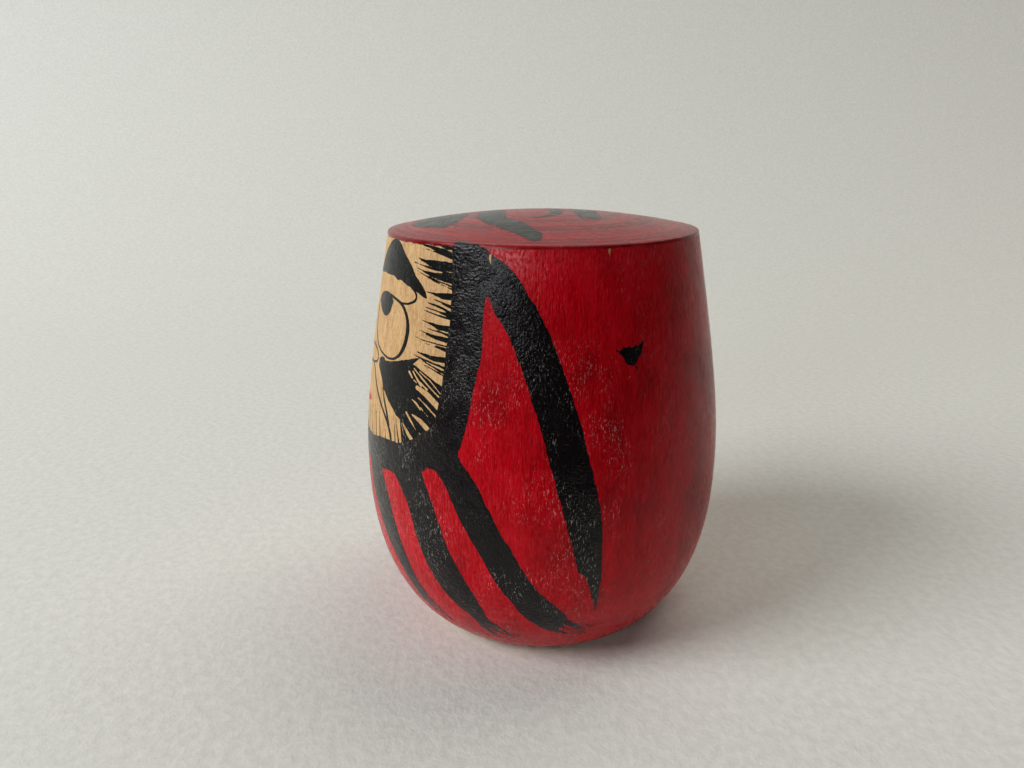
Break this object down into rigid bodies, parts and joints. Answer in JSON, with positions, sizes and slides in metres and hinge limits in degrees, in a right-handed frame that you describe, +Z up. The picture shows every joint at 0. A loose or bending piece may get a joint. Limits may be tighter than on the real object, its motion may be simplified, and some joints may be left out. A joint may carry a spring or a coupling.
{
  "type": "wooden daruma doll",
  "caption": "Lathe-turned wooden daruma doll: a round-bellied solid block with a flat foot and low domed crown, painted red with a bare-wood face and brushed black ink marks.",
  "frame": {"origin": "centre of the flat foot, on the surface that the doll stands on", "axes": "+Z up along the turning axis from the foot to the crown; the face looks towards -Y; +X is the doll's own left side"},
  "size_m": [0.0628, 0.0626, 0.0722],
  "materials": {
    "bare_wood": "fine close-grained turned wood, satin, vertical grain",
    "red_paint": "thin red dye paint over the wood grain, satin, worn in small pale flecks",
    "black_ink": "brushed black ink, satin where thick and dry-brushed where it runs out",
    "lip_paint": "thin pale red paint on bare wood, matte"
  },
  "bodies": {
    "root": {"turned_body": "bare_wood", "red_side_coat": "red_paint", "red_crown_coat": "red_paint", "chin_band": "black_ink", "nose_outline": "black_ink", "mouth": "lip_paint", "ink_blot": "black_ink", "hood_band_left": "black_ink", "hood_band_right": "black_ink", "robe_edge_left": "black_ink", "robe_edge_right": "black_ink", "robe_fold_inner_left": "black_ink", "robe_fold_inner_right": "black_ink", "robe_fold_second_left": "black_ink", "robe_fold_second_right": "black_ink", "robe_fold_third_left": "black_ink", "robe_fold_third_right": "black_ink", "robe_fold_outer_left": "black_ink", "robe_fold_outer_right": "black_ink", "brow_left": "black_ink", "brow_right": "black_ink", "eye_outline_left": "black_ink", "eye_outline_right": "black_ink", "pupil_left": "black_ink", "pupil_right": "black_ink", "eyelid_line_left": "black_ink", "eyelid_line_right": "black_ink", "moustache_left": "black_ink", "moustache_right": "black_ink", "cheek_line_left": "black_ink", "cheek_line_right": "black_ink", "side_hair_left": "black_ink", "side_hair_right": "black_ink", "crown_dab_front": "black_ink", "crown_dab_left": "black_ink", "crown_dab_middle": "black_ink", "crown_dab_right": "black_ink"}
  },
  "joints": []
}
